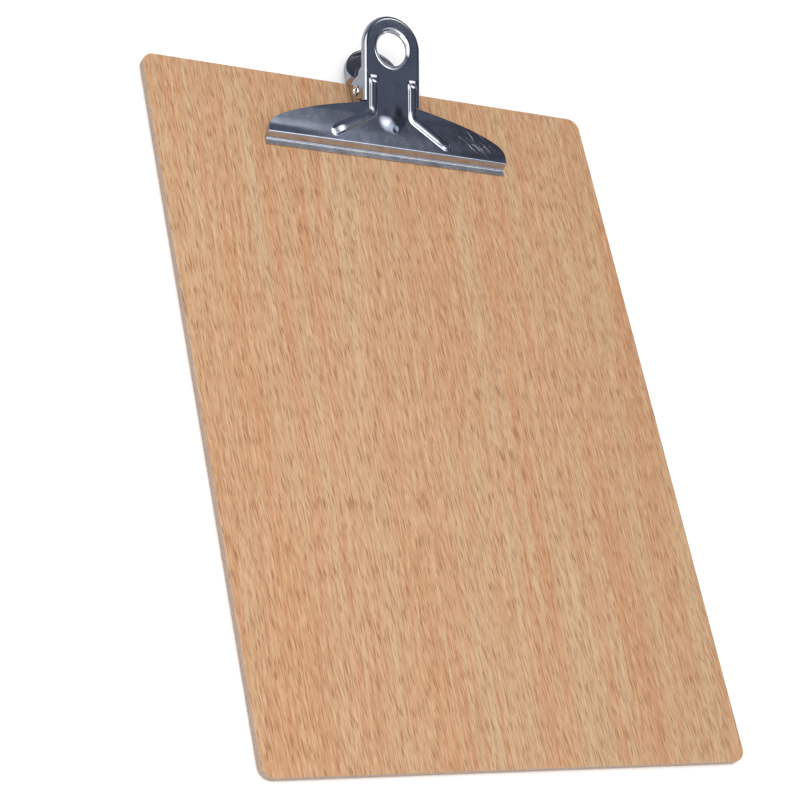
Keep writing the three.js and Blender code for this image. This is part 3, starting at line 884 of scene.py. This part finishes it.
# ------------------------------------------------------------ shader graphs
class Graph:
    """Short calls for building a node tree; inputs may be sockets or plain values."""

    def __init__(self, tree):
        self.tree = tree
        tree.nodes.clear()

    def node(self, kind, **settings):
        node = self.tree.nodes.new(kind)
        for key, value in settings.items():
            setattr(node, key, value)
        return node

    def feed(self, socket, value):
        if isinstance(value, bpy.types.NodeSocket):
            self.tree.links.new(value, socket)
        else:
            socket.default_value = value

    def math(self, operation, first, second, clamp=False):
        node = self.node("ShaderNodeMath", operation=operation, use_clamp=clamp)
        self.feed(node.inputs[0], first)
        self.feed(node.inputs[1], second)
        return node.outputs[0]

    def times(self, first, second):
        return self.math("MULTIPLY", first, second)

    def larger(self, first, second):
        return self.math("MAXIMUM", first, second)

    def vector(self, operation, first, second=None):
        node = self.node("ShaderNodeVectorMath", operation=operation)
        self.feed(node.inputs[0], first)
        if second is not None:
            self.feed(node.inputs[1], second)
        return node.outputs["Value" if operation in ("DOT_PRODUCT", "LENGTH") else "Vector"]

    def mix(self, factor, first, second, mode="MIX"):
        node = self.node("ShaderNodeMix", data_type="RGBA", blend_type=mode)
        self.feed(node.inputs[0], factor)
        self.feed(node.inputs[6], first)
        self.feed(node.inputs[7], second)
        return node.outputs[2]

    def ramp(self, value, start, end, low=0.0, high=1.0):
        """Smooth change from low to high as value goes from start to end."""
        node = self.node("ShaderNodeMapRange", interpolation_type="SMOOTHSTEP")
        self.feed(node.inputs["Value"], value)
        node.inputs["From Min"].default_value = start
        node.inputs["From Max"].default_value = end
        node.inputs["To Min"].default_value = low
        node.inputs["To Max"].default_value = high
        return node.outputs["Result"]

    def coords(self):
        return self.node("ShaderNodeTexCoord").outputs["Object"]

    def mapped(self, vector, scale=(1, 1, 1), loc=(0, 0, 0), turn=0):
        """Scale, turn about Z (radians), then shift."""
        node = self.node("ShaderNodeMapping")
        self.feed(node.inputs["Vector"], vector)
        node.inputs["Scale"].default_value = scale
        node.inputs["Location"].default_value = loc
        node.inputs["Rotation"].default_value = (0, 0, turn)
        return node.outputs["Vector"]

    def noise(self, vector, scale=1.0, detail=2.0, rough=0.5, output="Fac"):
        node = self.node("ShaderNodeTexNoise")
        self.feed(node.inputs["Vector"], vector)
        node.inputs["Scale"].default_value = scale
        node.inputs["Detail"].default_value = detail
        node.inputs["Roughness"].default_value = rough
        return node.outputs[output]

    def cells(self, vector, scale=1.0, randomness=1.0):
        """Distance from each cell's centre, and a random value per cell."""
        node = self.node("ShaderNodeTexVoronoi", feature="F1")
        self.feed(node.inputs["Vector"], vector)
        node.inputs["Scale"].default_value = scale
        node.inputs["Randomness"].default_value = randomness
        split = self.node("ShaderNodeSeparateColor")
        self.feed(split.inputs[0], node.outputs["Color"])
        return node.outputs["Distance"], split.outputs[0]

    def bump(self, height, distance, strength):
        node = self.node("ShaderNodeBump")
        self.feed(node.inputs["Height"], height)
        node.inputs["Distance"].default_value = distance
        node.inputs["Strength"].default_value = strength
        return node.outputs["Normal"]

    def surface(self, values):
        """Principled surface with these inputs."""
        shader = self.node("ShaderNodeBsdfPrincipled")
        for key, value in values.items():
            self.feed(shader.inputs[key], value)
        output = self.node("ShaderNodeOutputMaterial")
        self.feed(output.inputs["Surface"], shader.outputs["BSDF"])


def new_material(name):
    material = bpy.data.materials.new(name)
    material.use_nodes = True
    return material, Graph(material.node_tree)


def srgb(*levels):
    """Linear colour from 0-255 sRGB levels."""
    parts = [level / 255 for level in levels]
    return (*(((part + 0.055) / 1.055) ** 2.4 if part > 0.04045 else part / 12.92
              for part in parts), 1.0)


# ---------------------------------------------------------------- materials
WOOD_TRIM = (0.867, 0.872, 0.846, 1.0)    # multiplies the whole print


def beech(name, offset):
    """Printed beech with its grain along Y; offset moves the pattern."""
    material, g = new_material(name)
    coords = g.coords()
    wander = g.noise(g.mapped(coords, scale=(14, 4, 1), loc=(offset, offset, 0)),
                     detail=1.0, output="Color")
    wander = g.vector("SUBTRACT", wander, (0.5, 0.5, 0.5))
    wander = g.vector("MULTIPLY", wander, (0.008, 0.0, 0.0))
    wood = g.vector("ADD", coords, wander)

    def grain(vector, across, along, shift, detail=2.0, rough=0.5):
        moved = g.mapped(vector, scale=(across, along, 1), loc=(*shift, 0))
        return g.noise(moved, detail=detail, rough=rough)

    def tinted(colour, value, start, end, amount, rgb):
        return g.mix(g.ramp(value, start=start, end=end, high=amount), colour, srgb(*rgb))

    def leaning(degrees):
        return g.mapped(wood, scale=(1, 1, 0.0001), turn=math.radians(degrees))

    # lengthwise bands, from broad to narrow, and pinkish patches
    banded = g.mapped(wood, turn=math.radians(3.5))
    broad = grain(banded, across=62, along=3.2, shift=(offset, 0), rough=0.55)
    medium = grain(banded, across=240, along=5.0, shift=(offset * 2, 3), rough=0.55)
    narrow = grain(banded, across=420, along=6.0, shift=(offset * 2, 8), rough=0.55)
    line = grain(banded, across=600, along=8.0, shift=(offset * 2, 6))
    pink = grain(wood, across=60, along=22, shift=(offset + 7, 1))
    colour = tinted(srgb(204, 152, 112), broad, 0.34, 0.66, amount=1, rgb=(206, 172, 137))
    colour = tinted(colour, medium, 0.46, 0.62, amount=0.7, rgb=(203, 148, 109))
    colour = tinted(colour, narrow, 0.50, 0.64, amount=0.6, rgb=(210, 177, 138))
    colour = tinted(colour, pink, 0.52, 0.72, amount=0.45, rgb=(207, 155, 123))
    colour = tinted(colour, line, 0.50, 0.64, amount=0.32, rgb=(197, 142, 103))
    colour = tinted(colour, line, 0.46, 0.34, amount=0.32, rgb=(215, 180, 142))
    # small light and dark mottle
    mottle = grain(wood, across=1300, along=260, shift=(offset, 5), rough=0.6)
    colour = tinted(colour, mottle, 0.5, 0.72, amount=0.08, rgb=(219, 182, 147))
    colour = tinted(colour, mottle, 0.5, 0.3, amount=0.12, rgb=(188, 141, 105))
    # fine fibre lines
    fibre = grain(g.mapped(wood, turn=math.radians(1.5)), across=1250, along=32,
                  shift=(offset, 0), detail=3.0, rough=0.6)
    colour = tinted(colour, fibre, 0.50, 0.64, amount=0.38, rgb=(178, 130, 92))
    colour = tinted(colour, fibre, 0.47, 0.35, amount=0.38, rgb=(228, 191, 155))

    # flecks, one per stretched cell, leaning a little off the grain
    def flecks(width, length, lean, shift, core, edge, skip):
        vector = g.mapped(leaning(lean), scale=(1 / width, 1 / length, 1), loc=(*shift, 0))
        distance, chance = g.cells(vector, randomness=0.7)
        pick = g.ramp(chance, start=skip, end=skip + 0.3)
        dark = g.times(g.ramp(distance, start=core, end=edge, low=1, high=0), pick)
        return dark, distance, pick

    edge = 0.22
    short_fleck, distance, pick = flecks(width=0.00120, length=0.0112, lean=-4,
                                         shift=(offset, 2), core=0.10, edge=edge, skip=0.0)
    flank = g.times(g.ramp(distance, start=edge * 0.8, end=edge * 1.25),
                    g.ramp(distance, start=edge * 1.4, end=edge * 2.0, low=1, high=0))
    flank = g.times(flank, pick)
    long_fleck, _, _ = flecks(width=0.00140, length=0.0220, lean=-2,
                              shift=(offset + 3, 4), core=0.03, edge=0.20, skip=0.25)

    # finer dark and pale strokes drawn out of stretched noise
    def strokes(across, along, lean, shift):
        value = grain(leaning(lean), across, along, shift, detail=1.0, rough=0.35)
        return g.ramp(value, start=0.57, end=0.73), g.ramp(value, start=0.43, end=0.28)

    dark, pale = strokes(across=1500, along=105, lean=-4, shift=(offset, 11))
    fine_dark, fine_pale = strokes(across=1900, along=140, lean=-2, shift=(offset + 4, 13))
    pale = g.larger(g.larger(pale, g.times(fine_pale, 0.8)), g.times(flank, 0.4))
    colour = g.mix(g.times(pale, 0.5), colour, srgb(229, 193, 157))
    fleck = g.larger(g.larger(g.times(short_fleck, 0.85), g.times(dark, 0.64)),
                     g.larger(g.times(long_fleck, 0.5), g.times(fine_dark, 0.6)))
    colour = g.mix(fleck, colour, srgb(148, 95, 60))
    micro = g.noise(coords, scale=2600)
    height = g.math("ADD", g.times(fleck, -0.5), g.times(micro, 0.25))
    g.surface({
        "Base Color": g.mix(1.0, colour, WOOD_TRIM, "MULTIPLY"),
        "Roughness": g.ramp(fibre, start=0.2, end=0.8, low=0.42, high=0.52),
        "Specular IOR Level": 0.28,
        "Normal": g.bump(height, distance=0.00004, strength=0.35),
    })
    return material


def fibreboard():
    material, g = new_material("pressed_fibre_edge")
    coords = g.coords()
    fine = g.noise(g.mapped(coords, scale=(900, 900, 2600)), detail=4.0, rough=0.65)
    layers = g.noise(g.mapped(coords, scale=(90, 90, 700)), detail=3.0, rough=0.55)
    colour = g.mix(g.ramp(fine, start=0.3, end=0.7), srgb(146, 126, 112), srgb(184, 166, 152))
    colour = g.mix(g.ramp(layers, start=0.4, end=0.75, high=0.5), colour, srgb(158, 140, 128))
    g.surface({
        "Base Color": colour,
        "Roughness": 0.82,
        "Normal": g.bump(fine, distance=0.00012, strength=0.5),
    })
    return material


def rubbed_patch(g, coords):
    """Elliptical patch of fine hairlines, centred at x 43 mm, y 130 mm."""
    placed = g.mapped(g.mapped(coords, loc=(-0.043, -0.130, 0)), turn=0.28)
    distance = g.vector("LENGTH", g.mapped(placed, scale=(1 / 0.017, 1 / 0.0065, 0)))
    zone = g.ramp(distance, start=0.2, end=1.0, low=1, high=0)
    first = g.noise(g.mapped(g.mapped(coords, turn=0.62), scale=(75, 1900, 200)),
                    detail=3.0, rough=0.6)
    second = g.noise(g.mapped(g.mapped(coords, turn=0.40), scale=(60, 1500, 200), loc=(3, 1, 0)),
                     detail=3.0, rough=0.6)
    lines = g.larger(g.ramp(first, start=0.58, end=0.70), g.ramp(second, start=0.60, end=0.72))
    return g.times(lines, zone)


def steel(name, tint, rough, scuff, speck=0.3, rubbed=False):
    """Plated steel; scuff and speck set how strong scratches and pits are."""
    material, g = new_material(name)
    coords = g.coords()
    big = g.noise(coords, scale=55, detail=3.0, rough=0.6)
    fine = g.noise(coords, scale=900, detail=4.0, rough=0.65)
    cloud = g.noise(coords, scale=150, detail=4.0, rough=0.6)
    dark = (tint[0] * 0.84, tint[1] * 0.84, tint[2] * 0.87, 1.0)
    light = (tint[0] * 1.12, tint[1] * 1.12, tint[2] * 1.10, 1.0)
    colour = g.mix(g.ramp(fine, start=0.35, end=0.7, high=0.6), (*tint, 1.0), dark)
    colour = g.mix(g.ramp(cloud, start=0.42, end=0.68, high=0.8), colour, light)
    # small pits in the plating
    distance, chance = g.cells(coords, scale=620)
    pits = g.times(g.ramp(distance, start=0.10, end=0.30, low=1, high=0),
                   g.ramp(chance, start=0.55, end=0.75))
    pits = g.times(pits, g.ramp(cloud, start=0.40, end=0.60))
    # hairline scratches in three directions: turn (radians), scale, threshold
    scratches = None
    for k, (turn, scale, threshold) in enumerate(
            ((0.35, 420, 0.70), (1.25, 520, 0.72), (2.2, 380, 0.71))):
        stretched = g.mapped(g.mapped(coords, turn=turn),
                             scale=(scale * 6, scale * 0.10, scale * 0.5),
                             loc=(k * 3.1, k, 0))
        lines = g.ramp(g.noise(stretched), start=threshold - 0.06, end=threshold + 0.04)
        scratches = lines if scratches is None else g.larger(scratches, lines)
    patches = g.ramp(g.noise(coords, scale=120, detail=3.0, rough=0.6), start=0.5, end=0.68)
    scratches = g.times(g.times(scratches, patches), scuff)
    roughness = g.math("ADD", g.ramp(big, start=0.3, end=0.7, low=rough * 0.85, high=rough * 1.2),
                       g.times(scratches, 0.22), clamp=True)
    roughness = g.math("ADD", roughness, g.times(pits, 0.22 * speck))
    ripple = g.noise(coords, scale=330, detail=3.0, rough=0.6)
    height = g.math("ADD", g.times(ripple, 0.55), g.times(fine, 0.14))
    height = g.math("SUBTRACT", height, g.times(scratches, 0.2))
    height = g.math("SUBTRACT", height, g.times(pits, 0.30 * speck))
    if rubbed:
        rub = rubbed_patch(g, coords)
        colour = g.mix(g.times(rub, 0.5), colour, (0.58, 0.58, 0.60, 1))
        roughness = g.math("ADD", roughness, g.times(rub, 0.22), clamp=True)
        height = g.math("SUBTRACT", height, g.times(rub, 0.3))
    g.surface({
        "Metallic": 1.0,
        "Base Color": colour,
        "Roughness": roughness,
        "Normal": g.bump(height, distance=0.00006, strength=0.35),
    })
    return material


def wire_steel():
    material, g = new_material("drawn_wire")
    value = g.noise(g.coords(), scale=700, detail=3.0, rough=0.6)
    g.surface({
        "Metallic": 1.0,
        "Base Color": g.mix(g.ramp(value, start=0.35, end=0.7),
                            (0.30, 0.31, 0.33, 1), (0.44, 0.45, 0.47, 1)),
        "Roughness": g.ramp(value, start=0.3, end=0.7, low=0.22, high=0.4),
        "Normal": g.bump(value, distance=0.00003, strength=0.4),
    })
    return material


# ----------------------------------------------------------------- assembly
def dress(piece, node, body, slot, *materials):
    piece.data.materials.clear()
    for material in materials:
        piece.data.materials.append(material)
    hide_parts(node)
    if body:
        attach(piece, body)


PLATE_TINT = (0.44, 0.45, 0.475)
TURNED_TINT = (0.66, 0.66, 0.67)

front_print = beech("beech_print_front", 0.0)
back_print = beech("beech_print_back", 13.0)
core_fibre = fibreboard()
jaw_steel = steel("nickel_jaw", PLATE_TINT, rough=0.12, scuff=0.35, speck=0.5, rubbed=True)
base_steel = steel("nickel_base", PLATE_TINT, rough=0.15, scuff=0.5)
# inner faces of the jaw and the base: darker copies of the plated steel, painted shade under the
# lever; also rougher
jaw_inside_painted_shade = steel("nickel_inside_painted_shade", (0.17, 0.17, 0.19), rough=0.32, scuff=0.5)
base_inside_painted_shade = steel("nickel_base_inside_painted_shade", (0.30, 0.30, 0.33), rough=0.2, scuff=0.6)
pin_steel = steel("nickel_pin", TURNED_TINT, rough=0.18, scuff=0.3)
rivet_steel = steel("nickel_rivet", TURNED_TINT, rough=0.2, scuff=0.6)
spring_wire = wire_steel()

dress(board_layer("board_core_fibre", BOARD), "board_core", "board", "core", core_fibre)
dress(board_layer("front_decor_sheet", FRONT, ease_top=DECOR_EASE),
      "front_decor_layer", "board", "decor_front", front_print)
dress(board_layer("back_decor_sheet", BACK, ease_bottom=DECOR_EASE),
      "back_decor_layer", "board", "decor_back", back_print)
dress(build_base(), "clip_base_plate", "board", "base_steel", base_steel, base_inside_painted_shade)
dress(build_jaw(), "jaw_plate", "jaw", "jaw_steel", jaw_steel, jaw_inside_painted_shade)
dress(build_pin(), "pivot_pin", "board", "pin_steel", pin_steel)
for side_name, rivet_x in (("left", -RIVET_X), ("right", RIVET_X)):
    dress(build_rivet(f"rivet_{side_name}_turned", rivet_x),
          f"rivet_{side_name}", "board", "rivet_steel", rivet_steel)
spring = build_spring()
dress(spring, "torsion_spring", None, "spring_steel", spring_wire)
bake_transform(spring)


# -------------------------------------------------------------------- stage
def build_floor():
    """Pale floor level with the rivet heads, greyer in reflections."""
    half, z = 4, -0.0008
    mesh = bpy.data.meshes.new("floor")
    mesh.from_pydata([(-half, -half, z), (half, -half, z), (half, half, z), (-half, half, z)],
                     [], [(0, 1, 2, 3)])
    floor = bpy.data.objects.new("floor", mesh)
    bpy.context.scene.collection.objects.link(floor)
    material, g = new_material("pale_floor")
    pale = g.mix(g.ramp(g.noise(g.coords(), scale=30), start=0.3, end=0.7),
                 (0.95, 0.95, 0.95, 1), (0.96, 0.96, 0.96, 1))
    reflected = g.node("ShaderNodeLightPath").outputs["Is Glossy Ray"]
    g.surface({
        "Base Color": g.mix(reflected, pale, (0.60, 0.60, 0.65, 1)),
        "Roughness": 0.9,
        "Emission Color": (1, 1, 1, 1),
        "Emission Strength": 0.08,
        "Specular IOR Level": 0.1,
    })
    mesh.materials.append(material)
    return floor


# Soft patches of the studio seen in reflections, later ones over earlier ones:
# direction, angle of full strength and of fading out (degrees), colour
STUDIO_PATCHES = [
    ((-0.15, -0.75, 0.64), 18, 51.0, (5.8, 6.0, 6.5)),
    ((0.52, -0.36, 0.775), 2, 11, (0.85, 0.93, 1.15)),
    ((0.62, -0.21, 0.76), 2, 13, (0.055, 0.06, 0.085)),
    ((0.70, 0.10, 0.70), 4, 13, (0.03, 0.03, 0.04)),
    ((0.06, -0.02, 1.0), 6, 21, (0.03, 0.032, 0.045)),
    ((0.44, 0.66, 0.61), 10, 19, (0.06, 0.062, 0.085)),
    ((0.48, 0.31, 0.82), 5, 11.5, (2.4, 2.4, 2.45)),
    ((-0.70, -0.08, 0.71), 20, 34, (2.2, 2.2, 2.25)),
    ((0.45, -0.86, 0.36), 10, 26, (0.50, 0.53, 0.62)),
    ((0.0, -0.98, 0.16), 9, 21, (0.80, 0.84, 0.95)),
    ((0.82, -0.55, 0.06), 9, 22, (0.035, 0.035, 0.045)),
    ((-0.2, 0.97, 0.2), 20, 40, (0.40, 0.44, 0.54)),
    ((0.98, 0.0, 0.12), 5, 15, (0.85, 0.9, 1.05)),
]


def build_world():
    """Even white for matt surfaces and the camera, a studio for glossy rays."""
    world = bpy.data.worlds.new("studio")
    bpy.context.scene.world = world
    world.use_nodes = True
    g = Graph(world.node_tree)
    direction = g.node("ShaderNodeTexCoord").outputs["Generated"]
    studio = g.mix(0.0, (0.135, 0.156, 0.222, 1), (0, 0, 0, 1))
    for towards, full, faded, colour in STUDIO_PATCHES:
        closeness = g.vector("DOT_PRODUCT", direction, tuple(Vector(towards).normalized()))
        strength = g.ramp(closeness, start=math.cos(math.radians(faded)),
                          end=math.cos(math.radians(full)))
        studio = g.mix(strength, studio, (*colour, 1))
    rays = g.node("ShaderNodeLightPath")
    plain = g.mix(rays.outputs["Is Camera Ray"], (0.86, 0.86, 0.87, 1), (1.0, 1.0, 1.0, 1))
    background = g.node("ShaderNodeBackground")
    g.feed(background.inputs["Color"], g.mix(rays.outputs["Is Glossy Ray"], plain, studio))
    background.inputs["Strength"].default_value = 1.0
    output = g.node("ShaderNodeOutputWorld")
    g.feed(output.inputs["Surface"], background.outputs["Background"])


def build_key_light():
    """Square light aimed at the origin, hidden from reflections."""
    light = bpy.data.lights.new("key", "AREA")
    light.shape = "RECTANGLE"
    light.size = light.size_y = 0.9
    light.energy = 10
    key = bpy.data.objects.new("key", light)
    bpy.context.scene.collection.objects.link(key)
    key.location = (-0.7, -0.3, 1.3)
    key.rotation_mode = "QUATERNION"
    key.rotation_quaternion = (-Vector((-0.7, -0.3, 1.3))).to_track_quat("-Z", "Y")
    key.visible_glossy = False


def build_camera():
    lens = bpy.data.cameras.new("camera")
    lens.sensor_width = 36
    lens.sensor_fit = "HORIZONTAL"
    lens.lens = 96.24
    lens.clip_start, lens.clip_end = 0.05, 20
    camera = bpy.data.objects.new("camera", lens)
    bpy.context.scene.collection.objects.link(camera)
    right = Vector((0.85125, -0.18821, 0.48984))
    down = Vector((0.05987, -0.89253, -0.44699))
    forward = Vector((0.52133, 0.40983, -0.74850))
    pose = Matrix((right, -down, -forward)).transposed().to_4x4()
    pose.translation = Vector((-0.47792, -0.35935, 0.66096))
    camera.matrix_world = pose
    bpy.context.scene.camera = camera


build_floor()
build_world()
build_key_light()
build_camera()
bpy.context.scene.view_settings.view_transform = "Standard"
bpy.context.scene.view_settings.look = "None"
